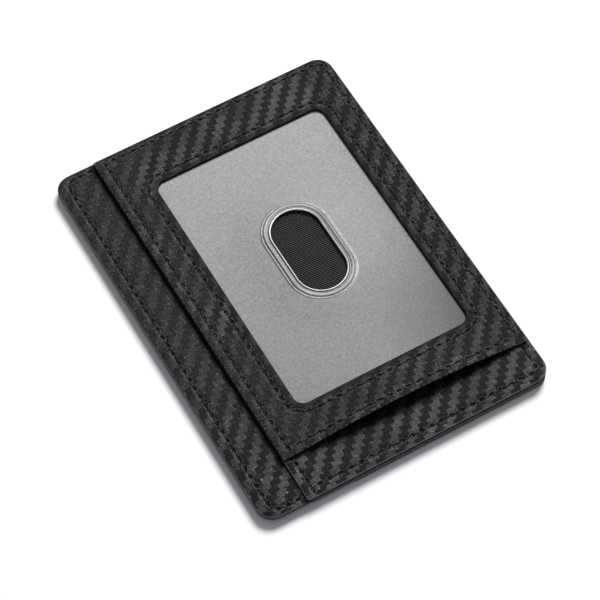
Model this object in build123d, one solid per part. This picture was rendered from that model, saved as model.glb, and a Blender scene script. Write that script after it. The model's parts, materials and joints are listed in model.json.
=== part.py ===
from build123d import *
import os

# A minimalist card wallet, empty, lying on its back with the window side up. Millimetres.
# +X points to the closed long edge, +Y away from the window panel's lip, +Z out of the window side.
# The origin is the centre of the outline, on the surface that the wallet lies on.

# Outline
length = 110.0
width = 78.8
corner_radius = 4.4

# Sheet thicknesses
body_leather = 0.70
pocket_leather = 0.50
lining = 0.08
ribbed_cloth = 0.10
foil = 0.05
sheet = 0.20

# Room left between the layers of an empty pocket
card_room = 0.10
cash_room = 0.20
window_room = 0.12
bowed_ply_gap = 0.02

# Where the pockets' mouths cross the width
front_mouth = -27.9
inner_mouth = -27.0
outer_mouth = -15.5

# The window panel, its lip at the two ends, and how far the lip bows up
lip_left = -43.6
lip_right = -44.6
lip_bow = 2.6
bow_top = -31.5
bow_middle = 5.5
bow_half = 31.0
bow_fullness = 1.2
bow_growth = 1.6
panel_right = 39.0
panel_top = 54.4

# The opening in the window panel, and the plastic sheet behind it
window_left = -17.8
window_right = 29.7
window_bottom = -32.9
window_top = 40.2
window_radius = 2.7
sheet_margin = 3.6

# The thumb slot in the sheet, with its raised rim
slot_x = 6.1
slot_y = 4.2
slot_radius = 6.5
slot_straight = 12.0
rim_width = 2.2
rim_rise = 0.35

# Sewing: thread width and sunk depth, and how far each row stands from its edge
thread_width = 0.5
thread_sunk = 0.22
edge_row = 2.5
strip_row = 3.1
strip_end_row = 1.7
mouth_row = 2.4
lip_row = 2.1
window_row = 2.4

# How far linings and foils stop short of the outline, their corners, and the rounding of turned edges
inset = 1.2
ribbed_inset = 2.4
foil_inset = 4.0
lining_radius = 2.2
turned_edge = 0.2

# The bowed surfaces: columns and rows of points, how far they reach past the outline, and how closely
# the surface keeps to its points
grid_columns = 22
grid_low_rows = 12
grid_high_rows = 10
grid_overhang = 2.0
grid_tolerance = 0.005

# How far the tool that cuts a bowed layer stands clear of it, and when two heights count as the same
cut_clearance = 1.0
same_height = 0.001

half_length = length / 2
half_width = width / 2

# The stack, from the surface up. Each name is the height of that layer's underside.
outer_leather_z = 0.0
outer_lining_z = outer_leather_z + pocket_leather
inner_leather_z = outer_lining_z + lining + card_room
inner_lining_z = inner_leather_z + pocket_leather
back_leather_z = inner_lining_z + lining + card_room
back_foil_z = back_leather_z + body_leather
back_lining_z = back_foil_z + foil
front_lining_z = back_lining_z + lining + cash_room
front_foil_z = front_lining_z + lining
front_leather_z = front_foil_z + foil
card_lining_z = front_leather_z + body_leather + card_room
pocket_leather_z = card_lining_z + lining
ribbed_cloth_z = pocket_leather_z + pocket_leather
sheet_z = ribbed_cloth_z + ribbed_cloth + window_room
backing_z = sheet_z + sheet + bowed_ply_gap
panel_z = backing_z + lining + bowed_ply_gap
panel_top_z = panel_z + pocket_leather


def rounded(x0, x1, y0, y1, left, right):
    """A rectangle as a face on the ground, with a corner radius for its left and its right side."""
    face = Rectangle(x1 - x0, y1 - y0).moved(Location(((x0 + x1) / 2, (y0 + y1) / 2, 0)))
    middle = (x0 + x1) / 2
    for radius, side in ((left, -1), (right, 1)):
        if radius:
            corners = [v for v in face.vertices() if (v.X - middle) * side > 0]
            face = fillet(corners, radius)
    return face


def slab(face, z, thickness):
    """A flat layer cut to a face, from height z up."""
    return extrude(face, thickness, dir=(0, 0, 1)).moved(Location((0, 0, z)))


def bow(x, y):
    """How far the window panel stands up off the flat at a point: nothing at its seams, most at its lip."""
    across = max(0.0, 1 - ((x - bow_middle) / bow_half) ** 2) ** bow_fullness
    along = max(0.0, (bow_top - y) / (bow_top - lip_left)) ** bow_growth
    return lip_bow * across * along


def bowed_slab(face, z, thickness):
    """A layer cut to a face that follows the window panel's bow, with close rows of points where it bows."""
    reach_x = half_width + grid_overhang
    reach_y = half_length + grid_overhang
    x_step = 2 * reach_x / grid_columns
    low_step = (bow_top + reach_y) / grid_low_rows
    high_step = (reach_y - bow_top) / grid_high_rows
    lines = [low_step * j - reach_y for j in range(grid_low_rows)]
    lines += [bow_top + high_step * j for j in range(grid_high_rows + 1)]
    across = [x_step * i - reach_x for i in range(grid_columns + 1)]
    grid = [[(x, y, z + bow(x, y)) for x in across] for y in lines]
    surface = Face.make_surface_from_array_of_points(grid, tol=grid_tolerance)
    layer = Solid.thicken(surface, thickness, normal_override=(0, 0, 1))
    return layer & slab(face, z - cut_clearance, lip_bow + thickness + 2 * cut_clearance)


def row_of_thread(points, radius=0.0):
    """A row of sewing as a face on the ground: a strip along straight runs with rounded turns."""
    line = FilletPolyline(*points, radius=radius) if radius else Polyline(*points)
    return trace(line, thread_width)


def ring_of_thread(x0, x1, y0, y1, radius):
    """A closed rectangular row of sewing as a face on the ground."""
    half = thread_width / 2
    outer = rounded(x0 - half, x1 + half, y0 - half, y1 + half, radius + half, radius + half)
    return outer - rounded(x0 + half, x1 - half, y0 + half, y1 - half, radius - half, radius - half)


def turn_edges(solid, z):
    """Rounds the outer rim of a leather piece on the face at height z."""
    face = [f for f in solid.faces() if abs(f.center().Z - z) < same_height][0]
    return fillet(face.outer_wire().edges(), turned_edge)


def thumb_slot(radius):
    """The slot's outline as a face on the ground, long axis along Y."""
    shape = SlotOverall(slot_straight + 2 * radius, 2 * radius, rotation=90)
    return shape.moved(Location((slot_x, slot_y, 0)))


parts = {}

# Outlines that several layers share
full = rounded(-half_width, half_width, -half_length, half_length, corner_radius, corner_radius)
front_pocket = rounded(front_mouth, half_width, -half_length, half_length, 0, corner_radius)
inner_pocket = rounded(inner_mouth, half_width, -half_length, half_length, 0, corner_radius)
outer_pocket = rounded(outer_mouth, half_width, -half_length, half_length, 0, corner_radius)
edge_x = half_width - edge_row
edge_y = half_length - edge_row
edge_turn = corner_radius - edge_row
strip_x = strip_row - half_width
strip_y = half_length - strip_end_row
strip_turn = corner_radius - strip_end_row


def inside(x0, x1, y0, y1, margin):
    """A lining's outline: a plain rectangle that stops short of the leather on each side."""
    return rounded(x0 + margin, x1 - margin, y0 + margin, y1 - margin, lining_radius, lining_radius)


# Back half: the two outside card pockets, then the back of the wallet with its foil and lining
parts["back_outer_pocket_panel"] = turn_edges(
    slab(outer_pocket, outer_leather_z, pocket_leather), outer_leather_z)
parts["back_outer_pocket_lining"] = slab(
    inside(outer_mouth, half_width, -half_length, half_length, inset), outer_lining_z, lining)
parts["back_inner_pocket_panel"] = turn_edges(
    slab(inner_pocket, inner_leather_z, pocket_leather), inner_leather_z)
parts["back_inner_pocket_lining"] = slab(
    inside(inner_mouth, half_width, -half_length, half_length, inset), inner_lining_z, lining)
parts["back_body_panel"] = turn_edges(slab(full, back_leather_z, body_leather), back_leather_z)
parts["back_shield_foil"] = slab(
    inside(-half_width, half_width, -half_length, half_length, foil_inset), back_foil_z, foil)
parts["cash_pocket_back_lining"] = slab(
    inside(-half_width, half_width, -half_length, half_length, inset), back_lining_z, lining)

# Front half: the wallet's front with its lining and foil, then the card pocket's panel
parts["cash_pocket_front_lining"] = slab(
    inside(-half_width, half_width, -half_length, half_length, inset), front_lining_z, lining)
parts["front_shield_foil"] = slab(
    inside(-half_width, half_width, -half_length, half_length, foil_inset), front_foil_z, foil)
parts["front_body_panel"] = turn_edges(
    slab(full, front_leather_z, body_leather), front_leather_z + body_leather)
parts["front_pocket_lining"] = slab(
    inside(front_mouth, half_width, -half_length, half_length, inset), card_lining_z, lining)
parts["front_pocket_panel"] = slab(front_pocket, pocket_leather_z, pocket_leather)
parts["id_pocket_ribbed_lining"] = slab(
    inside(front_mouth, half_width, lip_left, panel_top, ribbed_inset), ribbed_cloth_z, ribbed_cloth)

# The window panel, its backing, and the sheet with its thumb slot
window = rounded(window_left, window_right, window_bottom, window_top, window_radius, window_radius)
lip_blank = Polygon((front_mouth, lip_left), (panel_right, lip_right), (panel_right, panel_top),
                    (front_mouth, panel_top), align=None)
top_right = lip_blank.vertices().sort_by(Axis.Y)[-2:].sort_by(Axis.X)[-1]
panel_outline = fillet(top_right, corner_radius)
backing_outline = inside(front_mouth, panel_right, lip_left, panel_top, inset)
sheet_outline = rounded(window_left - sheet_margin, window_right + sheet_margin,
                        window_bottom - sheet_margin, window_top + sheet_margin,
                        window_radius, window_radius)
parts["window_panel"] = bowed_slab(panel_outline - window, panel_z, pocket_leather)
parts["window_panel_backing"] = bowed_slab(backing_outline - window, backing_z, lining)
plain_sheet = bowed_slab(sheet_outline - thumb_slot(slot_radius), sheet_z, sheet)
rim = slab(thumb_slot(slot_radius + rim_width) - thumb_slot(slot_radius), sheet_z, sheet + rim_rise)
parts["window_sheet"] = plain_sheet + rim

# Rows of sewing on flat leather: name, face, the panel that it sinks into, and the height of its sunk side
mouth_x = front_mouth + mouth_row
front_top_z = front_leather_z + body_leather
pocket_top_z = pocket_leather_z + pocket_leather
strip_face = row_of_thread([(front_mouth, strip_y), (strip_x, strip_y), (strip_x, -strip_y),
                            (front_mouth, -strip_y)], strip_turn)
pocket_edge_face = row_of_thread([(mouth_x + thread_width, -edge_y), (edge_x, -edge_y), (edge_x, lip_right)],
                                 edge_turn)
mouth_end_face = row_of_thread([(mouth_x, lip_left - thread_width), (mouth_x, thread_width - half_length)])
back_strip_face = row_of_thread([(inner_mouth, strip_y), (strip_x, strip_y), (strip_x, -strip_y),
                                 (inner_mouth, -strip_y)], strip_turn)
inner_row_face = row_of_thread([(inner_mouth + mouth_row, edge_y), (inner_mouth + mouth_row, -edge_y)])
outer_row_face = row_of_thread([(outer_mouth + mouth_row, edge_y), (edge_x, edge_y), (edge_x, -edge_y),
                                (outer_mouth + mouth_row, -edge_y), (outer_mouth + mouth_row, 0)], edge_turn)
flat_rows = [
    ("strip_edge_thread", strip_face, "front_body_panel", front_top_z - thread_sunk),
    ("front_pocket_edge_thread", pocket_edge_face, "front_pocket_panel", pocket_top_z - thread_sunk),
    ("front_mouth_lower_thread", mouth_end_face, "front_pocket_panel", pocket_top_z - thread_sunk),
    ("back_strip_edge_thread", back_strip_face, "back_body_panel", back_leather_z),
    ("back_inner_mouth_thread", inner_row_face, "back_inner_pocket_panel", inner_leather_z),
    ("back_outer_pocket_thread", outer_row_face, "back_outer_pocket_panel", outer_leather_z),
]
for name, face, panel, z in flat_rows:
    parts[name] = slab(face, z, thread_sunk)
    parts[panel] = parts[panel] - parts[name]

# Rows of sewing on the bowed window panel
window_ring = ring_of_thread(window_left - window_row, window_right + window_row, window_bottom - window_row,
                             window_top + window_row, window_radius + window_row)
panel_edge_face = row_of_thread([(mouth_x + thread_width, edge_y), (edge_x, edge_y),
                                 (edge_x, lip_right + lip_row)], edge_turn)
panel_mouth_face = row_of_thread([(mouth_x, panel_top - thread_width), (mouth_x, lip_left + thread_width)])
lip_face = row_of_thread([(mouth_x + 2 * thread_width, lip_left + lip_row),
                          (edge_x - 2 * thread_width, lip_right + lip_row)])
bowed_rows = [
    ("window_edge_thread", window_ring),
    ("window_panel_edge_thread", panel_edge_face),
    ("window_panel_mouth_thread", panel_mouth_face),
    ("lip_thread", lip_face),
]
for name, face in bowed_rows:
    parts[name] = bowed_slab(face, panel_top_z - thread_sunk, thread_sunk * 2) & parts["window_panel"]
    parts["window_panel"] = parts["window_panel"] - parts[name]

os.makedirs("parts", exist_ok=True)
for name, shape in parts.items():
    solids = shape.solids()
    export_step(solids[0] if len(solids) == 1 else Compound(children=solids), f"parts/{name}.step")
    print(name, len(solids), round(sum(s.volume for s in solids), 2))
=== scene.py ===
import json
import math

import bpy
import numpy as np
from mathutils import Matrix, Vector
from mathutils.geometry import delaunay_2d_cdt

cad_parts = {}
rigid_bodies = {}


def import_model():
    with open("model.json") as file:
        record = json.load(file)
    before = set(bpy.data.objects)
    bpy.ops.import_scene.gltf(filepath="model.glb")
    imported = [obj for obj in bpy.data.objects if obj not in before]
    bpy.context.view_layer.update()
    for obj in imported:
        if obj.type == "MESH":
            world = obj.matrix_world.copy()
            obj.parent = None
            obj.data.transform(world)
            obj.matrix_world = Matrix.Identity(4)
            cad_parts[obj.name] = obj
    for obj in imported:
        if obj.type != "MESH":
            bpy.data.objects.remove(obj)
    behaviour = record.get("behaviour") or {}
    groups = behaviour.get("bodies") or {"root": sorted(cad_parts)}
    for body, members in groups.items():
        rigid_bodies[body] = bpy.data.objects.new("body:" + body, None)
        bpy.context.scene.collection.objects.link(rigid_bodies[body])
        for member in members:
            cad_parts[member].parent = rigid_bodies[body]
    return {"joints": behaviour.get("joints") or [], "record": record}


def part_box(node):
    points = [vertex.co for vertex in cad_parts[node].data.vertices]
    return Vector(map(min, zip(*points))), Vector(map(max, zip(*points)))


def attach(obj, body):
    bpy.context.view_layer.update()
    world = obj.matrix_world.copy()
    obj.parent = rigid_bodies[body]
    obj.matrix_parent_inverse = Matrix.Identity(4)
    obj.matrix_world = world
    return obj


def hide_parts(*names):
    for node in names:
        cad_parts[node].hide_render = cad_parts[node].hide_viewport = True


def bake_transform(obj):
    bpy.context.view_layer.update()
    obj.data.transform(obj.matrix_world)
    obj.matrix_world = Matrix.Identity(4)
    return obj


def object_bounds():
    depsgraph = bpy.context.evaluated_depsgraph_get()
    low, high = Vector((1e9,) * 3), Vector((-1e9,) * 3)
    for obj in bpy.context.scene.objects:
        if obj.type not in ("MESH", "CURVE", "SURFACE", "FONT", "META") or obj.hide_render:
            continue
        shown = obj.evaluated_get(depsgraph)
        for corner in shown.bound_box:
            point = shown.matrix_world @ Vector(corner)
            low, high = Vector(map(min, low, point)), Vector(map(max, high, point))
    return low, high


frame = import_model()
cadLow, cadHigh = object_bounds()
mm = 0.001
print("wallet: frame loaded")

# Each piece's body comes from the record, and the mouth's hinge from its joints
bodyOf = {node: body for body, nodes in frame["record"]["behaviour"]["bodies"].items() for node in nodes}
mouthHinge = frame["joints"][0]


# How finely outlines and paths are sampled, and how meshes are filled with points
sampling = dict(leastRadius=0.02 * mm, arcStep=0.5 * mm, leastStraight=0.05 * mm, pathStep=0.25 * mm,
                turnPieces=12, pointsAtOnce=2000)
meshing = dict(rowShare=0.866, rowClear=1.6 * mm, sameSpot=0.12 * mm, underSpacing=3.0 * mm,
               underClear=1.0 * mm, weld=1e-7)


# Outlines: rectangles with a radius at each corner, in order from bottom left, anticlockwise
def outline(left, right, bottom, top, radii, bottomRight=None):
    endBottom = bottom if bottomRight is None else bottomRight
    return dict(left=left, right=right, bottomLeft=bottom, bottomRight=endBottom, top=top, radii=radii)


def boxOutline(node, radii, grow=0.0):
    low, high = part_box(node)
    return outline(low.x - grow, high.x + grow, low.y - grow, high.y + grow, radii)


def outlineLoop(shape, inset=0.0, step=1.0 * mm):
    # points round an outline moved inwards, always the same number of them for one outline and step
    sides = (shape["right"] - shape["left"], shape["top"] - shape["bottomLeft"]) * 2
    left, right, top = shape["left"] + inset, shape["right"] - inset, shape["top"] - inset
    bottoms = (shape["bottomLeft"] + inset, shape["bottomRight"] + inset)
    corners = ((left, bottoms[0], 1, 1), (right, bottoms[1], -1, 1),
               (right, top, -1, -1), (left, top, 1, -1))
    arcs = []
    for k, (x, y, inX, inY) in enumerate(corners):
        radius = max(shape["radii"][k] - inset, sampling["leastRadius"])
        turns = max(3, int(shape["radii"][k] * math.pi / 2 / min(step, sampling["arcStep"])))
        angles = math.pi * (1 + k / 2 + np.arange(turns + 1) / turns / 2)
        arcs.append(np.c_[x + inX * radius + radius * np.cos(angles),
                          y + inY * radius + radius * np.sin(angles)])
    points = []
    for k, arc in enumerate(arcs):
        after = (k + 1) % 4
        straight = sides[k] - shape["radii"][k] - shape["radii"][after]
        if straight < sampling["leastStraight"]:
            points.append(arc[:-1])
            continue
        points.append(arc)
        pieces = max(2, int(straight / step))
        share = (np.arange(1, pieces) / pieces)[:, None]
        points.append(arc[-1] + (arcs[after][0] - arc[-1]) * share)
    return np.vstack(points)


def insideLoop(points, loop):
    x, y = points[:, 0], points[:, 1]
    inside = np.zeros(len(points), bool)
    ends = np.roll(loop, -1, axis=0)
    for (x0, y0), (x1, y1) in zip(loop, ends):
        if y0 == y1:
            continue
        crosses = ((y0 > y) != (y1 > y)) & (x < (x1 - x0) * (y - y0) / (y1 - y0) + x0)
        inside ^= crosses
    return inside


def insideAll(points, loops):
    # which points are in the outer loop and in none of its holes
    keep = insideLoop(points, loops[0])
    for hole in loops[1:]:
        keep &= ~insideLoop(points, hole)
    return keep


def nearestOn(points, samples):
    # distance from each point to the nearest sample, and which sample that is
    distance = np.empty(len(points))
    index = np.empty(len(points), int)
    for start in range(0, len(points), sampling["pointsAtOnce"]):
        taken = slice(start, start + sampling["pointsAtOnce"])
        part = points[taken]
        gaps = (part[:, None, 0] - samples[None, :, 0]) ** 2 + (part[:, None, 1] - samples[None, :, 1]) ** 2
        index[taken] = gaps.argmin(1)
        distance[taken] = np.sqrt(gaps.min(1))
    return distance, index


# Sewing: a row is a path on the leather with evenly spaced stitches, in a valley with a puffed bank on each
# side and a pit at each needle hole. The band has the places across a row, in mm, of its mesh lines.
sewing = dict(pitch=2.75 * mm, threadRadius=0.22 * mm, rise=0.08 * mm, dip=0.75 * mm, valley=0.16 * mm,
              valleyWidth=0.5 * mm, valleyBeat=0.25, bedShare=0.6, pit=0.5 * mm, pitWidth=0.38 * mm,
              pitLength=0.74 * mm,
              puff=0.11 * mm, puffAt=1.15 * mm, puffWidth=0.45 * mm, puffBeat=0.3, pointsPerStitch=10,
              band=(-1.35, -0.9, -0.55, -0.25, 0, 0.25, 0.55, 0.9, 1.35))


class SewnRow:
    # path points at an even spacing, with whole stitches centred on its start and a hole between each two
    def __init__(self, points, closed=False):
        points = np.array(points, float)
        if closed:
            points = np.vstack([points, points[:1]])
        runs = np.linalg.norm(np.diff(points, axis=0), axis=1)
        along = np.concatenate([[0], np.cumsum(runs)])
        self.closed = closed
        stitchCount = max(1, round(along[-1] / sewing["pitch"]))
        self.pitch = along[-1] / stitchCount
        count = stitchCount * sewing["pointsPerStitch"]
        self.at = np.arange(count if closed else count + 1) * self.pitch / sewing["pointsPerStitch"]
        self.points = np.c_[np.interp(self.at, along, points[:, 0]), np.interp(self.at, along, points[:, 1])]
        ahead = np.roll(self.points, -1, axis=0) - np.roll(self.points, 1, axis=0)
        if not closed:
            ahead[0], ahead[-1] = self.points[1] - self.points[0], self.points[-1] - self.points[-2]
        self.tangent = ahead / np.linalg.norm(ahead, axis=1)[:, None]
        self.normal = np.c_[-self.tangent[:, 1], self.tangent[:, 0]]

    def coordinates(self, points):
        # how far each point is across and along the row
        distance, index = nearestOn(points, self.points)
        offset = points - self.points[index]
        along = self.at[index] + (offset * self.tangent[index]).sum(1)
        return distance, along

    def pits(self, across, along):
        # 1 in the middle of each needle hole, fading round it
        toHole = (0.5 - np.abs((along / self.pitch) % 1 - 0.5)) * self.pitch - self.pitch / 2
        return np.exp(-(across / sewing["pitWidth"]) ** 2 - (toHole / sewing["pitLength"]) ** 2)

    def meshPoints(self):
        # a band of points that lets the leather's mesh follow the valley and its pits
        return np.vstack([self.points + self.normal * side * mm for side in sewing["band"]])


def polyline(corners, radius):
    # straight runs with round turns, sampled along their length
    turnPieces = sampling["turnPieces"]
    points = [np.array(corners[0], float)]
    for before, corner, after in zip(corners, corners[1:], corners[2:]):
        before, corner, after = (np.array(p, float) for p in (before, corner, after))
        inward = (before - corner) / np.linalg.norm(before - corner)
        outward = (after - corner) / np.linalg.norm(after - corner)
        start, end = corner + inward * radius, corner + outward * radius
        centre = corner + (inward + outward) * radius
        for i in range(turnPieces + 1):
            turn = i / turnPieces * math.pi / 2
            points.append(centre + (start - centre) * math.cos(turn) + (end - centre) * math.sin(turn))
    points.append(np.array(corners[-1], float))
    dense = [points[0]]
    for a, b in zip(points, points[1:]):
        pieces = max(1, int(np.linalg.norm(b - a) / sampling["pathStep"]))
        dense += [a + (b - a) * i / pieces for i in range(1, pieces + 1)]
    return np.array(dense)


# The bow of the window panel's lip, as in the frame
lip = dict(rise=2.6 * mm, middle=5.5 * mm, half=31 * mm, fadesAt=-31.5 * mm, fullness=1.2, growth=1.6,
           slant=1.0 * mm)
windowLow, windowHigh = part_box("window_panel")
lipLeftY, lipRightY = windowLow.y + lip["slant"], windowLow.y


def lipBow(x, y):
    across = np.clip(1 - ((x - lip["middle"]) / lip["half"]) ** 2, 0, None) ** lip["fullness"]
    along = np.clip((lip["fadesAt"] - y) / (lip["fadesAt"] - lipLeftY), 0, None) ** lip["growth"]
    return lip["rise"] * across * along


waves = dict(count=6, size=14 * mm, shortest=0.6, longest=1.6, height=0.06 * mm, edgeFade=6 * mm)


def waviness(x, y, seed):
    # a gentle unevenness of thin leather, made of a few crossing waves
    rng = np.random.default_rng(seed)
    total = np.zeros_like(x)
    for _ in range(waves["count"]):
        angle, phase = rng.uniform(0, math.pi), rng.uniform(0, 2 * math.pi)
        wave = 2 * math.pi / (waves["size"] * rng.uniform(waves["shortest"], waves["longest"]))
        total += np.sin((x * math.cos(angle) + y * math.sin(angle)) * wave + phase)
    return total / waves["count"] * waves["height"]


def edgeDistance(points, loops):
    return nearestOn(points, np.vstack(loops))[0]


def newObject(name, data):
    made = bpy.data.objects.new(name, data)
    bpy.context.scene.collection.objects.link(made)
    return made


def makeMesh(name, vertices, faces, material, attributes=None):
    mesh = bpy.data.meshes.new(name)
    mesh.from_pydata([tuple(v) for v in vertices], [], faces)
    for key, values in (attributes or {}).items():
        layer = mesh.attributes.new(key, "FLOAT", "POINT")
        layer.data.foreach_set("value", np.asarray(values, np.float32))
    mesh.polygons.foreach_set("use_smooth", [True] * len(mesh.polygons))
    mesh.materials.append(material)
    mesh.update()
    return newObject(name, mesh)


def triangulate(loops, extra):
    # flat triangles between an outer loop and its holes, through all the extra points
    points = np.vstack(loops + ([extra] if len(extra) else []))
    edges, start = [], 0
    for loop in loops:
        n = len(loop)
        edges += [(start + i, start + (i + 1) % n) for i in range(n)]
        start += n
    scaled = points / mm
    made = delaunay_2d_cdt([Vector(p) for p in scaled], edges, [], 0, meshing["weld"], True)
    flat = np.array([tuple(v) for v in made[0]]) * mm
    triangles = np.array([tuple(f) for f in made[2]])
    centres = flat[triangles].mean(1)
    triangles = triangles[insideAll(centres, loops)]
    a, b, c = (flat[triangles[:, i]] for i in range(3))
    turned = (b[:, 0] - a[:, 0]) * (c[:, 1] - a[:, 1]) - (b[:, 1] - a[:, 1]) * (c[:, 0] - a[:, 0]) < 0
    triangles[turned] = triangles[turned][:, ::-1]
    # the made vertices, found again from each loop's own points
    back = {}
    for new, olds in enumerate(made[3]):
        for old in olds:
            back[old] = new
    order = [back[i] for i in range(sum(len(loop) for loop in loops))]
    return flat, triangles, order


def gridPoints(shape, spacing):
    # rows of points, each shifted by half a space against the row before
    left, bottom, share = shape["left"], min(shape["bottomLeft"], shape["bottomRight"]), meshing["rowShare"]
    columns = int((shape["right"] - left) / spacing) + 2
    rows = int((shape["top"] - bottom) / (spacing * share)) + 2
    x, y = np.meshgrid(np.arange(columns) * spacing + left, np.arange(rows) * spacing * share + bottom)
    x = x + (np.arange(rows) % 2)[:, None] * spacing / 2
    return np.c_[x.ravel(), y.ravel()]


def layer(name, material, shape, topHeight, bottomHeight, holes=(), edge=0.3 * mm, rings=8, spacing=1.0 * mm,
          step=1.0 * mm, rows=(), band=None, clear=0.35 * mm, attributes=None):
    # a sheet of material between two height functions, with its rims turned round
    angles = np.linspace(0, math.pi, rings)
    rims = [(shape, 1)] + [(hole, -1) for hole in holes]
    topLoops = [outlineLoop(rim, side * edge, step) for rim, side in rims]
    grid = gridPoints(shape, spacing)
    for row in rows:
        grid = grid[nearestOn(grid, row.points)[0] > meshing["rowClear"]]
    fine = np.vstack([grid] + [row.meshPoints() for row in rows] + ([] if band is None else [band]))
    fine = fine[insideAll(fine, topLoops)]
    fine = fine[edgeDistance(fine, topLoops) > clear]
    spots = np.round(fine / meshing["sameSpot"]).astype(int)
    fine = fine[np.unique(spots, axis=0, return_index=True)[1]]
    flat, triangles, order = triangulate(topLoops, fine)
    vertices = [np.c_[flat, topHeight(flat)]]
    faces = [triangles]
    coarse = gridPoints(shape, meshing["underSpacing"])
    coarse = coarse[insideAll(coarse, topLoops)]
    coarse = coarse[edgeDistance(coarse, topLoops) > meshing["underClear"]]
    under, underTriangles, underOrder = triangulate(topLoops, coarse)
    underStart = len(flat)
    vertices.append(np.c_[under, bottomHeight(under)])
    faces.append(underTriangles[:, ::-1] + underStart)
    count = underStart + len(under)
    taken = 0
    quads = []
    for k, (rim, side) in enumerate(rims):
        n = len(topLoops[k])
        upper = np.array(order[taken:taken + n])
        lower = np.array(underOrder[taken:taken + n]) + underStart
        taken += n
        previous = upper
        for angle in angles[1:-1]:
            loop = outlineLoop(rim, side * edge * (1 - math.sin(angle)), step)
            topZ, bottomZ = topHeight(topLoops[k]), bottomHeight(topLoops[k])
            z = (topZ + bottomZ) / 2 + (topZ - bottomZ) / 2 * math.cos(angle)
            vertices.append(np.c_[loop, z])
            current = np.arange(count, count + n)
            count += n
            quads.append((previous, current, side))
            previous = current
        quads.append((previous, lower, side))
    faces = np.vstack(faces).tolist()
    for a, b, side in quads:
        a2, b2 = np.roll(a, -1), np.roll(b, -1)
        ring = np.c_[a, b, b2, a2] if side > 0 else np.c_[a, a2, b2, b]
        faces += ring.tolist()
    vertices = np.vstack(vertices)
    found = attributes(vertices[:, :2]) if attributes else None
    return makeMesh(name, vertices, faces, material, found)


# Material helpers
class Shader:
    # a material's nodes, with short calls for the sums that a pattern needs
    def __init__(self, name):
        self.material = bpy.data.materials.new(name)
        self.material.use_nodes = True
        self.nodes = self.material.node_tree.nodes
        self.links = self.material.node_tree.links
        self.surface = self.nodes["Principled BSDF"]

    def node(self, kind, **settings):
        made = self.nodes.new(kind)
        for key, value in settings.items():
            setattr(made, key, value)
        return made

    def put(self, value, socket):
        if isinstance(value, bpy.types.NodeSocket):
            self.links.new(value, socket)
        else:
            socket.default_value = value

    def fill(self, sockets, values):
        for socket, value in zip(sockets, values):
            self.put(value, socket)

    def sum(self, operation, *values, clamp=False):
        made = self.node("ShaderNodeMath", operation=operation, use_clamp=clamp)
        self.fill(made.inputs, values)
        return made.outputs[0]

    def plus(self, first, second, clamp=False):
        return self.sum("ADD", first, second, clamp=clamp)

    def minus(self, first, second):
        return self.sum("SUBTRACT", first, second)

    def times(self, *values, clamp=False):
        product = values[0]
        for value in values[1:-1]:
            product = self.sum("MULTIPLY", product, value)
        return self.sum("MULTIPLY", product, values[-1], clamp=clamp)

    def scaled(self, value, gain, start, clamp=False):
        return self.sum("MULTIPLY_ADD", value, gain, start, clamp=clamp)

    def fromMiddle(self, run):
        # 0 in the middle of a run from 0 to 1, and 1 at both its ends
        return self.sum("ABSOLUTE", self.scaled(run, 2.0, -1.0))

    def pick(self, share, low, high):
        # low where share is 0, high where it is 1
        made = self.node("ShaderNodeMix", data_type="FLOAT")
        self.fill((made.inputs[0], made.inputs[2], made.inputs[3]), (share, low, high))
        return made.outputs[0]

    def colour(self, share, low, high):
        made = self.node("ShaderNodeMix", data_type="RGBA")
        self.fill((made.inputs[0], made.inputs[6], made.inputs[7]), (share, low, high))
        return made.outputs[2]

    def noise(self, place, scale, detail=2.0, roughness=0.5):
        made = self.node("ShaderNodeTexNoise")
        sockets = [made.inputs[key] for key in ("Vector", "Scale", "Detail", "Roughness")]
        self.fill(sockets, (place, scale, detail, roughness))
        return made.outputs["Fac"]

    def place(self, scale=(1, 1, 1), turn=(0, 0, 0), shift=(0, 0, 0)):
        # the point on the piece, in its own coordinates
        mapping = self.node("ShaderNodeMapping")
        self.links.new(self.node("ShaderNodeTexCoord").outputs["Object"], mapping.inputs["Vector"])
        for key, value in (("Scale", scale), ("Rotation", turn), ("Location", shift)):
            mapping.inputs[key].default_value = value
        return mapping.outputs["Vector"]

    def split(self, vector):
        made = self.node("ShaderNodeSeparateXYZ")
        self.put(vector, made.inputs[0])
        return made.outputs

    def join(self, x, y, z=0.0):
        made = self.node("ShaderNodeCombineXYZ")
        self.fill(made.inputs, (x, y, z))
        return made.outputs[0]

    def attribute(self, name):
        return self.node("ShaderNodeAttribute", attribute_name=name).outputs["Fac"]

    def between(self, value, low, high):
        # a smooth 0 to 1 as value goes from low to high
        made = self.node("ShaderNodeMapRange", interpolation_type="SMOOTHSTEP")
        self.fill(made.inputs, (value, low, high))
        return made.outputs[0]

    def bump(self, height, distance, strength=1.0, under=None):
        made = self.node("ShaderNodeBump")
        self.put(height, made.inputs["Height"])
        made.inputs["Distance"].default_value = distance
        made.inputs["Strength"].default_value = strength
        if under is not None:
            self.put(under, made.inputs["Normal"])
        return made.outputs["Normal"]

    def finish(self, **surface):
        # what the surface gets, by the names of its sockets
        for key, value in surface.items():
            self.put(value, self.surface.inputs[key.replace("_", " ")])
        return self.material


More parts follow.
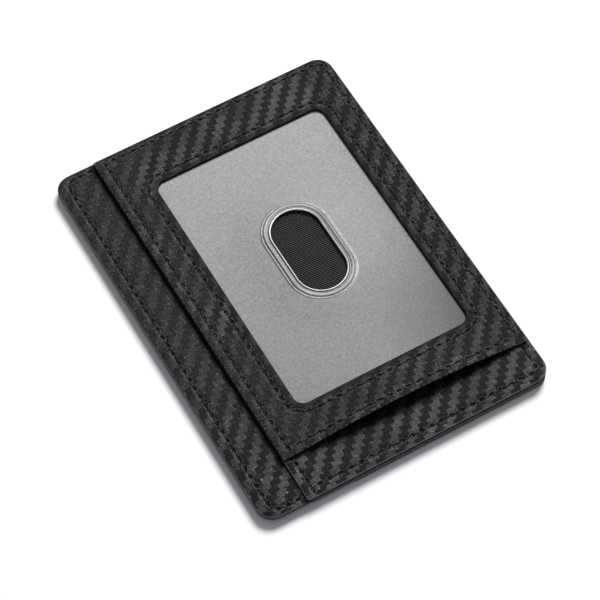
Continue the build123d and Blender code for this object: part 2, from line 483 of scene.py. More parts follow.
# Twill: each float passes over two threads, and each row starts one thread further along. Noise scales
# are per metre. A pair is where a smooth step starts and ends, or a share's values at 0 and at 1.
twill = dict(
    cellX=1.33 * mm, cellY=1.585 * mm, floatCells=2.0, repeatCells=4.0, raggedScale=3200.0, ragged=0.36,
    dark=(0.0036, 0.0036, 0.0037, 1), light=(0.079, 0.0795, 0.081, 1), spark=(0.30, 0.30, 0.30, 1),
    edge=(0.13, 0.13, 0.125, 1), band=(0.0055, 0.0055, 0.0057, 1), hole=(0.0015, 0.0015, 0.0015, 1),
    acrossPower=5.0, acrossShare=0.4, alongPower=8.0, alongShare=0.6, fibreFine=9.0, fibreLong=1.2,
    weftSeed=5, patchScale=62.0, patchStep=(0.36, 0.62), patchReach=12 * mm, grainScale=2300.0,
    speckleScale=2600.0,
    speckleStep=(0.60, 0.72), turnedLight=(1.0, 0.25), ownLight=(0.6, 1.0), underSheenLight=(0.22, 1.0),
    fibreStep=(0.25, 0.75), fibreLight=(0.4, 1.0), sheenStep=(0.38, 0.80), sheenShare=(0.56, 0.16),
    crownLight=(0.6, 1.0), railShadeWidth=2 * mm, railShadeLight=(1.0, 0.16), railShadeGlints=(1.0, 0.45), rimGlint=1.2,
    glintShare=(0.25, 0.7), glintGain=0.5, glintStart=0.25, rimFibreStep=(0.45, 0.62),
    rimOwnStep=(0.35, 0.6), rimLight=0.8, puckerGlintStep=(0.01, 0.10), puckerGlintGrain=(0.38, 0.60), puckerGlint=0.9,
    turnedShadeShare=0.75,
    edgeHighlightGrain=(0.3, 1.0), paintedShadeShare=0.9, holeShadeStep=(0.22, 0.34), rough=(0.7, 0.55), roughGrain=0.4,
    specular=0.11, crown=(0.09 * mm, 0.4), crownShare=(0.25, 1.0), fibre=(0.04 * mm, 0.5),
    grain=(0.05 * mm, 0.6))


def twillLeather(name, shiftX, shiftY, contrast, seed, fade=("X", -1.0, -0.9), railShadeFrom=1.0):
    # fade: the axis and the two places in metres between which a painted sheen, hiding the twill, gives way
    # to clear twill
    # railShadeFrom: the place along X in metres beyond which the floats are painted dark, as shade, and only
    # their rims catch painted highlights
    s, t = Shader(name), twill
    u, v, _ = s.split(s.place(scale=(1 / t["cellX"], 1 / t["cellY"], 1 / mm), shift=(shiftX, shiftY, 0)))
    # the cells are a little ragged, as a print on grained leather is
    ragged = s.noise(s.place(shift=(seed, 0, 0)), t["raggedScale"], 2.0, 0.6)
    ragged = s.scaled(ragged, t["ragged"], -t["ragged"] / 2)
    u, v = s.plus(u, ragged), s.minus(v, ragged)
    column, line = s.sum("FLOOR", u), s.sum("FLOOR", v)
    perFloat = 1 / t["floatCells"]
    weftRun = s.sum("FLOORED_MODULO", s.minus(u, line), t["repeatCells"])
    warpRun = s.sum("FLOORED_MODULO", s.minus(s.minus(v, column), 1.0), t["repeatCells"])
    isWeft = s.sum("LESS_THAN", weftRun, t["floatCells"])
    along = s.pick(isWeft, s.times(warpRun, perFloat), s.times(weftRun, perFloat))
    across = s.pick(isWeft, s.sum("FRACT", u), s.sum("FRACT", v))
    # a float is crowned across its width and dives at both ends
    offAcross = s.times(s.sum("POWER", s.fromMiddle(across), t["acrossPower"]), t["acrossShare"])
    offAlong = s.times(s.sum("POWER", s.fromMiddle(along), t["alongPower"]), t["alongShare"])
    crown = s.minus(1.0, s.plus(offAcross, offAlong))
    offCrown = s.minus(1.0, crown)
    # fibres lie along each float
    fine, long = t["fibreFine"], t["fibreLong"]
    warpFibre = s.noise(s.join(s.times(u, fine), s.times(v, long), seed), 1.0, 3.0, 0.6)
    weftFibre = s.noise(s.join(s.times(u, long), s.times(v, fine), seed + t["weftSeed"]), 1.0, 3.0, 0.6)
    fibre = s.pick(isWeft, warpFibre, weftFibre)
    patch = s.between(s.noise(s.place(shift=(seed, seed, 0)), t["patchScale"]), *t["patchStep"])
    # some floats catch less light than others
    random = s.node("ShaderNodeTexWhiteNoise", noise_dimensions="3D")
    s.put(s.join(s.sum("FLOOR", s.times(s.minus(u, line), perFloat)), line, seed), random.inputs["Vector"])
    own = random.outputs["Value"]
    grain = s.noise(s.place(shift=(0, seed, 0)), t["grainScale"], 2.0, 0.7)
    speckle = s.between(s.noise(s.place(shift=(seed, 1.0, 0)), t["speckleScale"], 1.0), *t["speckleStep"])
    turned, hole, here = s.attribute("turned"), s.attribute("hole"), s.split(s.place())
    # painted sheen: a broad lighter haze, grained, that hides the twill on the hazy side of the fade
    sheenEnd = s.plus(here["XYZ".index(fade[0])], s.times(s.minus(patch, 0.5), t["patchReach"]))
    clear = s.between(sheenEnd, fade[1], fade[2])
    # painted shade along the right rail, beyond railShadeFrom
    railShade = s.between(here[0], railShadeFrom, railShadeFrom + t["railShadeWidth"])
    strength = s.times(s.pick(patch, *contrast), s.pick(turned, *t["turnedLight"]),
                       s.pick(own, *t["ownLight"]), s.pick(clear, *t["underSheenLight"]))
    # the twill is the leather's one-colour emboss; its light weft floats are painted sheen, standing in for
    # how they catch the light
    glint = s.times(isWeft, s.pick(s.between(fibre, *t["fibreStep"]), *t["fibreLight"]))
    paintedSheen = s.times(s.between(grain, *t["sheenStep"]), s.pick(clear, *t["sheenShare"]))
    lift = s.times(s.plus(s.times(glint, strength), paintedSheen), s.pick(crown, *t["crownLight"]),
                   s.pick(railShade, *t["railShadeLight"]))
    # grains that catch the light, most of them on the rims of the light floats
    onRims = s.times(isWeft, offCrown, t["rimGlint"])
    glints = s.times(speckle, s.plus(s.pick(isWeft, *t["glintShare"]), onRims))
    glints = s.times(glints, s.scaled(strength, t["glintGain"], t["glintStart"]), clamp=True)
    rimLight = s.times(offCrown, isWeft, s.between(fibre, *t["rimFibreStep"]),
                       s.between(own, *t["rimOwnStep"]), railShade)
    glints = s.plus(s.times(glints, s.pick(railShade, *t["railShadeGlints"])), s.times(rimLight, t["rimLight"]),
                    clamp=True)
    # painted highlights on the puckered leather round each needle hole
    puckerGlint = s.times(s.between(hole, *t["puckerGlintStep"]), s.between(grain, *t["puckerGlintGrain"]))
    lift = s.plus(lift, s.times(puckerGlint, t["puckerGlint"]), clamp=True)
    body = s.colour(glints, s.colour(lift, t["dark"], t["light"]), t["spark"])
    # the smooth turned band round the window is painted dark: partly its plain leather, and partly painted
    # shade where it turns down away from the light
    body = s.colour(s.times(turned, t["turnedShadeShare"]), body, t["band"])
    # a painted highlight along the outer rim, where the turned edge catches the light
    body = s.colour(s.times(s.attribute("rim"), s.pick(grain, *t["edgeHighlightGrain"])), body, t["edge"])
    # painted shadow beside the card pocket's mouth and under the lip
    body = s.colour(s.times(s.attribute("crease"), t["paintedShadeShare"]), body, t["hole"])
    # painted shade in the needle holes
    body = s.colour(s.between(hole, *t["holeShadeStep"]), body, t["hole"])
    rough = s.plus(s.pick(isWeft, *t["rough"]), s.times(s.minus(grain, 0.5), t["roughGrain"]))
    relief = s.bump(s.times(crown, s.pick(isWeft, *t["crownShare"])), *t["crown"])
    relief = s.bump(grain, *t["grain"], s.bump(fibre, *t["fibre"], relief))
    return s.finish(Base_Color=body, Roughness=rough, Specular_IOR_Level=t["specular"], Normal=relief)


cloth = dict(weaveShare=0.3, ribShare=0.7, power=3.5, fuzzScale=4200.0, fuzzGain=1.6, rough=0.85,
             specular=0.06, bump=0.8, fuzz=(0.03 * mm, 0.4))


def plainCloth(name, shade, pitch, turn=0.0, height=0.05 * mm):
    # a plain weave: threads pass over each other by turns
    s, t = Shader(name), cloth
    u, v, _ = s.split(s.place(scale=(1 / pitch,) * 3, turn=(0, 0, turn)))
    waveU, waveV = [s.sum("SINE", s.times(way, 2 * math.pi)) for way in (u, v)]
    weave = s.scaled(s.times(waveU, waveV), 0.5, 0.5)
    ribs = s.scaled(waveV, 0.5, 0.5)
    fuzz = s.noise(s.place(), t["fuzzScale"], 2.0, 0.6)
    lift = s.sum("POWER", s.scaled(weave, t["weaveShare"], s.times(ribs, t["ribShare"])), t["power"])
    lift = s.times(lift, s.times(fuzz, t["fuzzGain"]), clamp=True)
    relief = s.bump(s.plus(weave, ribs), height, t["bump"], s.bump(fuzz, *t["fuzz"]))
    return s.finish(Base_Color=s.colour(lift, *shade), Roughness=t["rough"],
                    Specular_IOR_Level=t["specular"], Normal=relief)


threadLook = dict(lean=2.0, turns=11.0, plyGain=0.35, plyStart=0.55, fuzzScale=3800.0, litStep=(0.55, 1.0),
                  dark=(0.0025, 0.0025, 0.0026, 1), light=(0.15, 0.15, 0.15, 1), rough=0.5, specular=0.2,
                  ply=(0.05 * mm, 0.7))


def threadMaterial(name):
    s, t = Shader(name), threadLook
    x, y, z = s.split(s.place(scale=(1 / mm,) * 3))
    ply = s.sum("SINE", s.times(s.plus(s.plus(x, y), s.times(z, t["lean"])), t["turns"]))
    fuzz = s.noise(s.place(), t["fuzzScale"], 3.0, 0.6)
    lift = s.times(s.scaled(ply, t["plyGain"], t["plyStart"]), fuzz, clamp=True)
    # the thread is in shade where it dives into a needle hole
    lift = s.times(lift, s.between(s.attribute("stand"), *t["litStep"]))
    return s.finish(Base_Color=s.colour(lift, t["dark"], t["light"]), Roughness=t["rough"],
                    Specular_IOR_Level=t["specular"], Normal=s.bump(ply, *t["ply"]))


# The thumb slot in the window sheet
slot = dict(x=6.1 * mm, y=4.2 * mm, radius=6.5 * mm, straight=12.0 * mm)

# The frosted sheet, with places in millimetres. A stop of the rim is how far out it is, as a share of the
# rim's reach, and how grey it is.
frost = dict(
    scale=2100.0, cut=0.2 * mm, gain=2.8, shade=(0.142, 0.276), blue=1.005, growth=0.0060, middle=0.985,
    cornerShadeX=(4.0, 33.0), cornerShadeY=(12.0, -36.0), cornerShadeShare=0.62, frameShadowX=(23.0, 31.0), frameShadowShare=0.12,
    wobbleScale=700.0, wobble=0.10, rimReach=3.0, pressedStep=(2.6, 2.9), endStep=(6.0, 12.0),
    endLight=(0.85, 1.45), rough=(0.5, 0.28), specular=0.35, bump=(0.03 * mm, 0.4),
    stops=((0.0, 0.62), (0.07, 0.72), (0.13, 0.08), (0.33, 0.15), (0.42, 0.27), (0.53, 0.28), (0.60, 0.08),
           (0.66, 0.08), (0.72, 0.20), (0.80, 0.17), (0.86, 0.07), (0.92, 0.18)))


def frostedSheet(name):
    # "rim" is the distance out from the slot's edge in millimetres, where the pressed rings catch the light
    s, t = Shader(name), frost
    fine = s.noise(s.place(scale=(1, 1, 0), shift=(0, 0, t["cut"])), t["scale"], 3.0, 0.8)
    x, y, _ = s.split(s.place(scale=(1 / mm,) * 3))
    # painted light: the sheet is painted lighter towards +Y, standing in for a broad reflection, and painted
    # darker towards the lip's closed end and beside the closed edge, standing in for shade
    paintedLight = s.scaled(y, t["growth"], t["middle"])
    cornerShade = s.times(s.between(x, *t["cornerShadeX"]), s.between(y, *t["cornerShadeY"]))
    paintedLight = s.minus(paintedLight, s.times(cornerShade, t["cornerShadeShare"]))
    paintedLight = s.minus(paintedLight, s.times(s.between(x, *t["frameShadowX"]), t["frameShadowShare"]))
    tone = s.scaled(s.minus(fine, 0.5), t["gain"], 0.5, clamp=True)
    shade = s.times(s.pick(tone, *t["shade"]), paintedLight)
    plain = s.join(shade, shade, s.times(shade, t["blue"]))
    rings = s.node("ShaderNodeValToRGB")
    out = s.attribute("rim")
    wobble = s.scaled(s.noise(s.place(), t["wobbleScale"], 1.0), t["wobble"], -t["wobble"] / 2)
    s.put(s.sum("DIVIDE", s.plus(out, wobble), t["rimReach"]), rings.inputs["Fac"])
    while len(rings.color_ramp.elements) < len(t["stops"]):
        rings.color_ramp.elements.new(0.5)
    for element, (place, grey) in zip(rings.color_ramp.elements, t["stops"]):
        element.position = place
        element.color = (grey, grey, grey, 1)
    # the rim's two round ends catch more light than its straight sides
    toEnd = s.between(s.sum("ABSOLUTE", s.minus(y, slot["y"] / mm)), *t["endStep"])
    ring = s.times(rings.outputs["Color"], s.pick(toEnd, *t["endLight"]))
    pressed = s.minus(1.0, s.between(out, *t["pressedStep"]))
    return s.finish(Base_Color=s.colour(pressed, plain, s.join(ring, ring, ring)),
                    Roughness=s.pick(pressed, *t["rough"]), Specular_IOR_Level=t["specular"],
                    Normal=s.bump(s.pick(pressed, fine, 0.5), *t["bump"]))


foilLook = dict(scale=260.0, dark=(0.55, 0.56, 0.58, 1), light=(0.8, 0.81, 0.83, 1), rough=0.38,
                crinkle=(0.05 * mm, 0.6))


def foilMaterial(name):
    s, t = Shader(name), foilLook
    crinkle = s.noise(s.place(), t["scale"], 4.0, 0.6)
    return s.finish(Base_Color=s.colour(crinkle, t["dark"], t["light"]), Metallic=1.0, Roughness=t["rough"],
                    Normal=s.bump(crinkle, *t["crinkle"]))


clothShade = ((0.006, 0.006, 0.0065, 1), (0.045, 0.045, 0.047, 1))
ribbedShade = ((0.0025, 0.0025, 0.0027, 1), (0.155, 0.155, 0.158, 1))
liningCloth = plainCloth("liningCloth", clothShade, 0.5 * mm)
ribbedCloth = plainCloth("ribbedCloth", ribbedShade, 0.56 * mm, math.radians(60), 0.12 * mm)
thread = threadMaterial("blackThread")
frosted = frostedSheet("frostedSheet")
foil = foilMaterial("shieldFoil")
print("wallet: materials")


# Stitches: the thread follows its row, stands up in each stitch and dives at each hole
stitchForm = dict(swing=0.499, fullness=0.85, ends=0.65, sides=8)


def stitchTree():
    tree = bpy.data.node_groups.new("stitchRow", "GeometryNodeTree")
    wanted = (("Row", "Geometry"), ("Pitch", "Float"), ("Thread Radius", "Float"), ("Rise", "Float"),
              ("Dip", "Float"), ("Points Per Stitch", "Int"), ("Thread", "Material"))
    for name, kind in wanted:
        tree.interface.new_socket(name, in_out="INPUT", socket_type="NodeSocket" + kind)
    tree.interface.new_socket("Stitches", in_out="OUTPUT", socket_type="NodeSocketGeometry")
    new, link = tree.nodes.new, tree.links.new
    given = new("NodeGroupInput").outputs

    def number(operation, *values):
        node = new("ShaderNodeMath")
        node.operation = operation
        for socket, value in zip(node.inputs, values):
            if isinstance(value, bpy.types.NodeSocket):
                link(value, socket)
            else:
                socket.default_value = value
        return node.outputs[0]

    curve = new("GeometryNodeMeshToCurve")
    link(given["Row"], curve.inputs["Mesh"])
    even = new("GeometryNodeResampleCurve")
    even.mode = "LENGTH"
    link(curve.outputs["Curve"], even.inputs["Curve"])
    link(number("DIVIDE", given["Pitch"], given["Points Per Stitch"]), even.inputs["Length"])
    along = new("GeometryNodeSplineParameter").outputs["Length"]
    turn = number("MULTIPLY", number("DIVIDE", along, given["Pitch"]), 2 * math.pi)
    wave = number("MULTIPLY_ADD", number("COSINE", turn), stitchForm["swing"], 1 - stitchForm["swing"])
    stand = number("POWER", wave, stitchForm["fullness"])
    reach = number("ADD", given["Rise"], given["Dip"])
    height = number("SUBTRACT", number("MULTIPLY", stand, reach), given["Dip"])
    offset = new("ShaderNodeCombineXYZ")
    link(height, offset.inputs["Z"])
    moved = new("GeometryNodeSetPosition")
    link(even.outputs["Curve"], moved.inputs["Geometry"])
    link(offset.outputs[0], moved.inputs["Offset"])
    kept = new("GeometryNodeStoreNamedAttribute")
    kept.inputs["Name"].default_value = "stand"
    link(moved.outputs["Geometry"], kept.inputs["Geometry"])
    link(stand, kept.inputs["Value"])
    slimmer = new("GeometryNodeSetCurveRadius")
    link(kept.outputs["Geometry"], slimmer.inputs["Curve"])
    link(number("MULTIPLY_ADD", stand, 1 - stitchForm["ends"], stitchForm["ends"]), slimmer.inputs["Radius"])
    section = new("GeometryNodeCurvePrimitiveCircle")
    section.inputs["Resolution"].default_value = stitchForm["sides"]
    link(given["Thread Radius"], section.inputs["Radius"])
    tube = new("GeometryNodeCurveToMesh")
    link(slimmer.outputs["Curve"], tube.inputs["Curve"])
    link(section.outputs["Curve"], tube.inputs["Profile Curve"])
    tube.inputs["Fill Caps"].default_value = True
    real = new("GeometryNodeRealizeInstances")
    link(tube.outputs["Mesh"], real.inputs["Geometry"])
    finish = new("GeometryNodeSetMaterial")
    link(real.outputs["Geometry"], finish.inputs["Geometry"])
    link(given["Thread"], finish.inputs["Material"])
    link(finish.outputs["Geometry"], new("NodeGroupOutput").inputs["Stitches"])
    return tree


stitches = stitchTree()


def sewn(name, row, height):
    # the thread of one row, as one plain mesh
    last = len(row.points) - 1
    vertices = [(x, y, z) for (x, y), z in zip(row.points, height(row.points))]
    edges = [(i, i + 1) for i in range(last)]
    if row.closed:
        edges.append((last, 0))
    mesh = bpy.data.meshes.new(name + "Row")
    mesh.from_pydata(vertices, edges, [])
    piece = newObject(name, mesh)
    modifier = piece.modifiers.new("stitches", "NODES")
    modifier.node_group = stitches
    given = {"Pitch": row.pitch, "Thread Radius": sewing["threadRadius"], "Rise": sewing["rise"],
             "Dip": sewing["dip"], "Points Per Stitch": sewing["pointsPerStitch"], "Thread": thread}
    for item in stitches.interface.items_tree:
        if item.in_out == "INPUT" and item.name in given:
            modifier[item.identifier] = given[item.name]
    bpy.context.view_layer.update()
    made = bpy.data.meshes.new_from_object(piece.evaluated_get(bpy.context.evaluated_depsgraph_get()))
    piece.modifiers.clear()
    piece.data = made
    made.polygons.foreach_set("use_smooth", [True] * len(made.polygons))
    return piece


# Riding: the back half is rigid; for the front half, the share by which each point would bow open between
# its sewn short sides is worked out in fit but not kept
def openShare(y):
    reach = np.clip(1 - (y / cadHigh.y) ** 2, 0, 1)
    return reach ** 2


pinch = dict(share=0.26, reach=2.6 * mm, level=2.2 * mm)


def placesOf(piece):
    places = np.zeros(len(piece.data.vertices) * 3)
    piece.data.vertices.foreach_get("co", places)
    return places.reshape(-1, 3)


def pinchEdges(piece):
    # the sewn stack is pressed thinner along its outline
    places = placesOf(piece)
    toSide = np.minimum(cadHigh.x - np.abs(places[:, 0]), cadHigh.y - np.abs(places[:, 1]))
    press = pinch["share"] * np.exp(-(np.clip(toSide, 0, None) / pinch["reach"]) ** 2)
    places[:, 2] -= press * (places[:, 2] - pinch["level"])
    piece.data.vertices.foreach_set("co", places.ravel())
    piece.data.update()


def fit(piece, node):
    pinchEdges(piece)
    if bodyOf[node] == mouthHinge["parent"]:
        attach(piece, mouthHinge["parent"])
    else:
        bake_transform(piece)
        share = openShare(placesOf(piece)[:, 1])
    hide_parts(node)


# Heights of flat leather: a fold's roll near the rim, and a valley with pits along each row of sewing
edgeRoll = dict(at=0.9 * mm, width=0.6 * mm)


def leatherTop(base, shape, holes, rows, seed, bow=None, roll=0.07 * mm, facing=1):
    loops = [outlineLoop(shape)] + [outlineLoop(hole) for hole in holes]

    def height(points):
        x, y = points[:, 0], points[:, 1]
        inwards = edgeDistance(points, loops)
        z = waviness(x, y, seed) * np.clip(inwards / waves["edgeFade"], 0, 1)
        z += roll * np.exp(-((inwards - edgeRoll["at"]) / edgeRoll["width"]) ** 2)
        for row in rows:
            across, along = row.coordinates(points)
            phase = np.cos(2 * math.pi * along / row.pitch)
            valley = np.exp(-(across / sewing["valleyWidth"]) ** 2)
            puff = np.exp(-((across - sewing["puffAt"]) / sewing["puffWidth"]) ** 2)
            z -= sewing["valley"] * (1 - sewing["valleyBeat"] * (1 + phase)) * valley
            z += sewing["puff"] * (1 - sewing["puffBeat"] * (1 - phase)) * puff
            z -= sewing["pit"] * row.pits(across, along)
        return base + facing * z + (bow(x, y) if bow else 0)
    return height


def flat(z, bow=None):
    return lambda points: z + (bow(points[:, 0], points[:, 1]) if bow else np.zeros(len(points)))


def rowBed(base, bow=None):
    # where a row's thread lies: the floor of its valley
    return flat(base - sewing["valley"] * sewing["bedShare"], bow)


markReach = dict(turned=1.5 * mm, turnedFade=0.5 * mm, rim=0.30 * mm, rimFade=0.12 * mm)


def leatherMarks(shape, holes, rows=(), shaded=None):
    # where the leather is turned round a rim, where a shadow is painted beside the card pocket's mouth and
    # under the lip, where it is pulled into a needle hole, and along the outer rim, where a highlight is
    # painted
    loops = [outlineLoop(shape)] + [outlineLoop(hole) for hole in holes]

    def marks(points):
        outer = edgeDistance(points, loops[:1])
        hole = edgeDistance(points, loops[1:]) if holes else np.full(len(points), math.inf)
        pits = np.zeros(len(points))
        for row in rows:
            pits = np.maximum(pits, row.pits(*row.coordinates(points)))
        crease = shaded(points) if shaded else np.zeros(len(points))
        turned = np.clip((markReach["turned"] - hole) / markReach["turnedFade"], 0, 1)
        rim = np.clip((markReach["rim"] - outer) / markReach["rimFade"], 0, 1)
        return {"turned": turned, "hole": pits, "crease": crease, "rim": rim}
    return marks


# Corner radii, and places that the rows of sewing share: how far in from an edge a row runs, and how far
# short of an edge or a row it ends
outlineRadius = 4.4 * mm
pocketRadii = (0.7 * mm, outlineRadius, outlineRadius, 0.7 * mm)
panelRadii = (0.6 * mm, 0.6 * mm, outlineRadius, 0.6 * mm)
sheetRadius = 2.7 * mm
rowInset = dict(edge=2.5 * mm, strip=3.1 * mm, stripEnd=1.7 * mm, mouth=2.4 * mm, lip=2.1 * mm,
                window=2.4 * mm)
rowEnd = dict(strip=0.2 * mm, pocketEdge=0.9 * mm, underLip=0.5 * mm, mouthTop=0.4 * mm, mouthFoot=0.7 * mm,
              panelEdge=1.2 * mm, panelMouth=0.9 * mm, lip=1.6 * mm)
mouthShade = dict(before=1.4 * mm, fade=0.7 * mm)
lipShade = dict(depth=0.8, before=0.4 * mm, reach=2.6 * mm, fade=1.6 * mm, power=0.8)
leatherSpacing = 1.1 * mm
pocketLow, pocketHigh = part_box("front_pocket_panel")
edgeX, edgeY = cadHigh.x - rowInset["edge"], cadHigh.y - rowInset["edge"]
mouthX = pocketLow.x + rowInset["mouth"]
edgeTurn = outlineRadius - rowInset["edge"]
stripX = cadLow.x + rowInset["strip"]
stripY = cadHigh.y - rowInset["stripEnd"]
stripTurn = outlineRadius - rowInset["stripEnd"]


def besideMouth(points):
    # painted shadow where the card pocket's mouth lies on the strip
    return np.clip((points[:, 0] - pocketLow.x + mouthShade["before"]) / mouthShade["fade"], 0, 1)


def underLip(points):
    # shade where the window panel's lip stands over the card pocket
    x, y = points[:, 0], points[:, 1]
    lipLine = lipLeftY + (lipRightY - lipLeftY) * (x - windowLow.x) / (windowHigh.x - windowLow.x)
    across = np.clip(1 - ((x - lip["middle"]) / lip["half"]) ** 2, 0, None) ** lipShade["power"]
    covered = y - lipLine + lipShade["before"] + lipShade["reach"] * across
    return lipShade["depth"] * np.clip(covered / lipShade["fade"], 0, 1)


# Front of the wallet: the strip along the cash pocket's mouth shows, the rest runs under the card pocket
bodyOutline = boxOutline("front_body_panel", (outlineRadius,) * 4)
bodyLow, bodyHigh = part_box("front_body_panel")
stripEndX = pocketLow.x - rowEnd["strip"]
stripRow = SewnRow(polyline([(stripEndX, stripY), (stripX, stripY), (stripX, -stripY), (stripEndX, -stripY)],
                            stripTurn))
bodyTwill = twillLeather("twillFrontBody", 1.1, 0.0, (0.35, 0.75), 1.0, ("Y", 2 * mm, -45 * mm))
frontBody = layer("front_body_leather", bodyTwill, bodyOutline,
                  leatherTop(bodyHigh.z, bodyOutline, [], [stripRow], 11), flat(bodyLow.z), rows=[stripRow],
                  spacing=leatherSpacing, attributes=leatherMarks(bodyOutline, [], [stripRow], besideMouth))
fit(frontBody, "front_body_panel")
fit(sewn("strip_edge_stitches", stripRow, rowBed(bodyHigh.z)), "strip_edge_thread")

# Card pocket's panel: seen below the window panel's lip
pocketOutline = boxOutline("front_pocket_panel", pocketRadii)
pocketEdgeRow = SewnRow(polyline([(mouthX + rowEnd["pocketEdge"], -edgeY), (edgeX, -edgeY),
                                  (edgeX, lipRightY + rowEnd["underLip"])], edgeTurn))
mouthEndRow = SewnRow(polyline([(mouthX, lipLeftY - rowEnd["mouthTop"]),
                                (mouthX, cadLow.y + rowEnd["mouthFoot"])], 0))
pocketRows = [pocketEdgeRow, mouthEndRow]
frontPocket = layer("front_pocket_leather", twillLeather("twillFrontPocket", 2.0, 0.0, (0.45, 0.84), 2.0),
                    pocketOutline, leatherTop(pocketHigh.z, pocketOutline, [], pocketRows, 12),
                    flat(pocketLow.z), rows=pocketRows, spacing=leatherSpacing,
                    attributes=leatherMarks(pocketOutline, [], pocketRows, underLip))
fit(frontPocket, "front_pocket_panel")
for name, row in zip(("front_pocket_edge", "front_mouth_lower"), pocketRows):
    fit(sewn(name + "_stitches", row, rowBed(pocketHigh.z)), name + "_thread")

# Window panel: turned edges, an opening, four rows of sewing and the bowed lip
sheetMargin = 3.6 * mm
windowOutline = boxOutline("window_sheet", (sheetRadius,) * 4, -sheetMargin)
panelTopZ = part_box("window_panel_edge_thread")[1].z
panelThickness = 0.5 * mm
panelOutline = outline(windowLow.x, windowHigh.x, lipLeftY, windowHigh.y, panelRadii, lipRightY)
ringRadius = sheetRadius + rowInset["window"]
ringOutline = boxOutline("window_sheet", (ringRadius,) * 4, rowInset["window"] - sheetMargin)
windowRow = SewnRow(outlineLoop(ringOutline, 0, sampling["pathStep"]), closed=True)
panelEdgeRow = SewnRow(polyline([(mouthX + rowEnd["panelEdge"], edgeY), (edgeX, edgeY),
                                 (edgeX, lipRightY + rowInset["lip"])], edgeTurn))
panelMouthRow = SewnRow(polyline([(mouthX, windowHigh.y - rowEnd["panelMouth"]),
                                  (mouthX, lipLeftY + rowEnd["panelMouth"])], 0))
lipRow = SewnRow(polyline([(mouthX + rowEnd["lip"], lipLeftY + rowInset["lip"]),
                           (edgeX - rowEnd["lip"], lipRightY + rowInset["lip"])], 0))
panelRows = [windowRow, panelEdgeRow, panelMouthRow, lipRow]
panelTwill = twillLeather("twillWindowPanel", 3.3, 0.3, (0.18, 0.9), 3.0, ("X", -24 * mm, -13 * mm),
                          29.5 * mm)
panelTop = leatherTop(panelTopZ, panelOutline, [windowOutline], panelRows, 13, lipBow, roll=0.1 * mm)
windowPanel = layer("window_panel_leather", panelTwill, panelOutline, panelTop,
                    flat(panelTopZ - panelThickness, lipBow), holes=[windowOutline], rows=panelRows,
                    spacing=0.8 * mm, step=0.6 * mm,
                    attributes=leatherMarks(panelOutline, [windowOutline], panelRows))
fit(windowPanel, "window_panel")
for name, row in zip(("window_edge", "window_panel_edge", "window_panel_mouth", "lip"), panelRows):
    fit(sewn(name + "_stitches", row, rowBed(panelTopZ, lipBow)), name + "_thread")
print("wallet: front leather and stitches")

# Window sheet: frosted, with a pressed double rim round the thumb slot
slotOutline = outline(slot["x"] - slot["radius"], slot["x"] + slot["radius"],
                      slot["y"] - slot["straight"] / 2 - slot["radius"],
                      slot["y"] + slot["straight"] / 2 + slot["radius"], (slot["radius"],) * 4)
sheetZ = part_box("window_sheet")[0].z
sheetThickness = 0.2 * mm
sheetSwell = dict(rise=0.6 * mm, reach=7.5 * mm)
rimRidges = ((0.28, 0.22, 0.30), (1.45, 0.34, 0.26), (2.30, 0.16, 0.06))   # place, half width, height, in mm


def slotDistance(points):
    x = np.abs(points[:, 0] - slot["x"])
    y = np.clip(np.abs(points[:, 1] - slot["y"]) - slot["straight"] / 2, 0, None)
    return np.hypot(x, y) - slot["radius"]


def sheetBed(points):
    # the empty pocket's sheet stands up a little round the slot
    swell = sheetSwell["rise"] * np.exp(-(np.clip(slotDistance(points), 0, None) / sheetSwell["reach"]) ** 2)
    return sheetZ + swell + lipBow(points[:, 0], points[:, 1])


def sheetTop(points):
    out = slotDistance(points) / mm
    z = np.zeros(len(points))
    for place, halfWidth, height in rimRidges:
        z += height * mm * np.exp(-((out - place) / halfWidth) ** 2)
    return sheetBed(points) + sheetThickness + z


rimLines = np.arange(0.12, 3.0, 0.11) * mm
rimBand = np.vstack([outlineLoop(slotOutline, -out, sampling["arcStep"]) for out in rimLines])
sheetOutline = boxOutline("window_sheet", (sheetRadius,) * 4)
windowSheet = layer("window_sheet_frosted", frosted, sheetOutline, sheetTop, sheetBed, holes=[slotOutline],
                    edge=0.06 * mm, rings=6, spacing=1.6 * mm, step=0.5 * mm, band=rimBand, clear=0.05 * mm,
                    attributes=lambda points: {"rim": slotDistance(points) / mm})
fit(windowSheet, "window_sheet")


# Linings and foils: thin layers inside, each as large as its frame node
lining = dict(radius=2.4 * mm, bowedThickness=0.08 * mm)


def liningLayer(node, name, material, bow=None, holes=()):
    low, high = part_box(node)
    thickness = lining["bowedThickness"] if bow else high.z - low.z
    shape = boxOutline(node, (lining["radius"],) * 4)
    piece = layer(name, material, shape, flat(low.z + thickness, bow), flat(low.z, bow), holes=holes,
                  edge=0.02 * mm, rings=4, spacing=2.5 * mm, step=2.5 * mm, clear=0.8 * mm)
    area = (high.x - low.x) * (high.y - low.y)
    for hole in holes:
        area -= (hole["right"] - hole["left"]) * (hole["top"] - hole["bottomLeft"])
    fit(piece, node)


for name in ("cash_pocket_back", "cash_pocket_front", "front_pocket", "back_outer_pocket",
             "back_inner_pocket"):
    liningLayer(name + "_lining", name + "_cloth", liningCloth)
liningLayer("window_panel_backing", "window_panel_backing_cloth", liningCloth, lipBow, [windowOutline])
liningLayer("id_pocket_ribbed_lining", "id_pocket_ribbed_cloth", ribbedCloth)
for node in ("front_shield_foil", "back_shield_foil"):
    liningLayer(node, node + "_sheet", foil)
print("wallet: sheet, linings and foils")


# Back of the wallet: its leather faces down, and two card pockets lie over it
floorGap = 0.02 * mm


def turnOver(piece):
    for vertex in piece.data.vertices:
        vertex.co.z = -vertex.co.z
    piece.data.flip_normals()


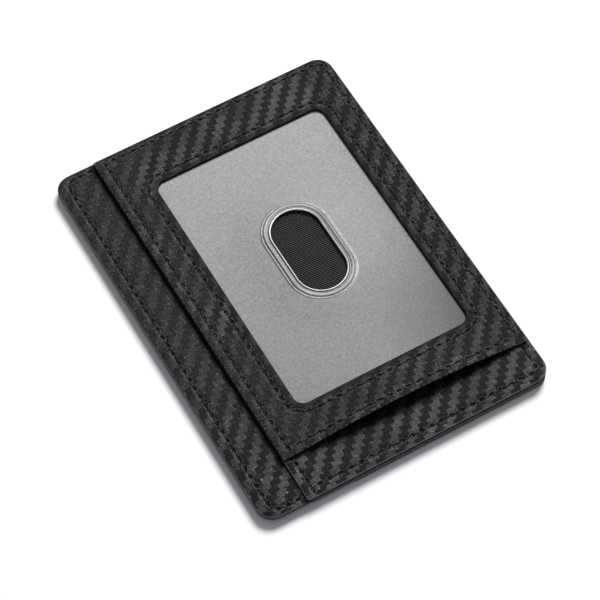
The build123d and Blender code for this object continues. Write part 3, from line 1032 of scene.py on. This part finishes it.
def backPanel(node, name, radii, rows, seed, shifts):
    low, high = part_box(node)
    shape = boxOutline(node, radii)
    top = leatherTop(low.z, shape, [], rows, seed, facing=-1, roll=0.0)
    piece = layer(name, twillLeather("twill_" + name, *shifts, (0.3, 0.9), float(seed)), shape,
                  lambda points: -np.maximum(top(points), low.z + floorGap), flat(-high.z), rows=rows,
                  spacing=leatherSpacing, attributes=leatherMarks(shape, [], rows))
    turnOver(piece)
    fit(piece, node)


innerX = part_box("back_inner_pocket_panel")[0].x
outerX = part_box("back_outer_pocket_panel")[0].x
backStripEndX = innerX - rowEnd["strip"]
backStripRow = SewnRow(polyline([(backStripEndX, stripY), (stripX, stripY), (stripX, -stripY),
                                 (backStripEndX, -stripY)], stripTurn))
innerMouthX = innerX + rowInset["mouth"]
innerRow = SewnRow(polyline([(innerMouthX, edgeY), (innerMouthX, -edgeY)], 0))
outerMouthX = outerX + rowInset["mouth"]
outerRow = SewnRow(polyline([(outerMouthX, 0), (outerMouthX, edgeY), (edgeX, edgeY), (edgeX, -edgeY),
                             (outerMouthX, -edgeY), (outerMouthX, 0)], edgeTurn))
backPanel("back_body_panel", "back_body_leather", (outlineRadius,) * 4, [backStripRow], 14, (0.4, 0.1))
backPanel("back_inner_pocket_panel", "back_inner_pocket_leather", pocketRadii, [innerRow], 15, (0.2, 0.6))
backPanel("back_outer_pocket_panel", "back_outer_pocket_leather", pocketRadii, [outerRow], 16, (0.7, 0.2))
for name, row in (("back_strip_edge", backStripRow), ("back_inner_mouth", innerRow),
                  ("back_outer_pocket", outerRow)):
    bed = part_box(name + "_thread")[0].z + floorGap + sewing["rise"] + sewing["threadRadius"]
    stitching = sewn(name + "_stitches", row, flat(-bed))
    turnOver(stitching)
    fit(stitching, name + "_thread")
print("wallet: back leather and stitches")


# Floor, light and camera
floorMaterial = Shader("paleFloor").finish(Base_Color=(0.9, 0.9, 0.9, 1), Roughness=0.9)
floorSize = 3.0
floorCorners = [(x * floorSize, y * floorSize, 0) for x, y in ((-1, -1), (1, -1), (1, 1), (-1, 1))]
floor = makeMesh("floor", floorCorners, [(0, 1, 2, 3)], floorMaterial)

studio = dict(sky=(0.90, 0.93, 1.0, 1), skyStrength=0.33, place=(0.70, 0.58, 1.09), size=0.72, power=27.0,
              colour=(1.0, 0.985, 0.955))
world = bpy.data.worlds.new("studio")
bpy.context.scene.world = world
world.use_nodes = True
sky = world.node_tree.nodes["Background"].inputs
sky["Color"].default_value = studio["sky"]
sky["Strength"].default_value = studio["skyStrength"]

light = bpy.data.lights.new("keyLight", "AREA")
light.shape = "DISK"
light.size = studio["size"]
light.energy = studio["power"]
light.color = studio["colour"]
lamp = newObject("keyLight", light)
lamp.location = studio["place"]
lamp.rotation_euler = Vector(studio["place"]).to_track_quat("Z", "Y").to_euler()

shot = dict(target=(-1.6 * mm, -4.7 * mm, 0.0), distance=619.9 * mm, azimuth=27.48, elevation=58.6,
            roll=-2.47, lens=151.9, sensor=36)
azimuth, elevation, roll = (math.radians(shot[key]) for key in ("azimuth", "elevation", "roll"))
back = Vector((-math.sin(azimuth) * math.cos(elevation), -math.cos(azimuth) * math.cos(elevation),
               math.sin(elevation)))
level = Vector((math.cos(azimuth), -math.sin(azimuth), 0))
right = level * math.cos(roll) + back.cross(level) * math.sin(roll)
up = back.cross(right)
camera = newObject("camera", bpy.data.cameras.new("camera"))
camera.data.lens = shot["lens"]
camera.data.sensor_width = shot["sensor"]
camera.matrix_world = Matrix.Translation(Vector(shot["target"]) + back * shot["distance"]) @ Matrix(
    (right, up, back)).transposed().to_4x4()
bpy.context.scene.camera = camera
bpy.context.scene.view_settings.view_transform = "Standard"
print("wallet: stage")
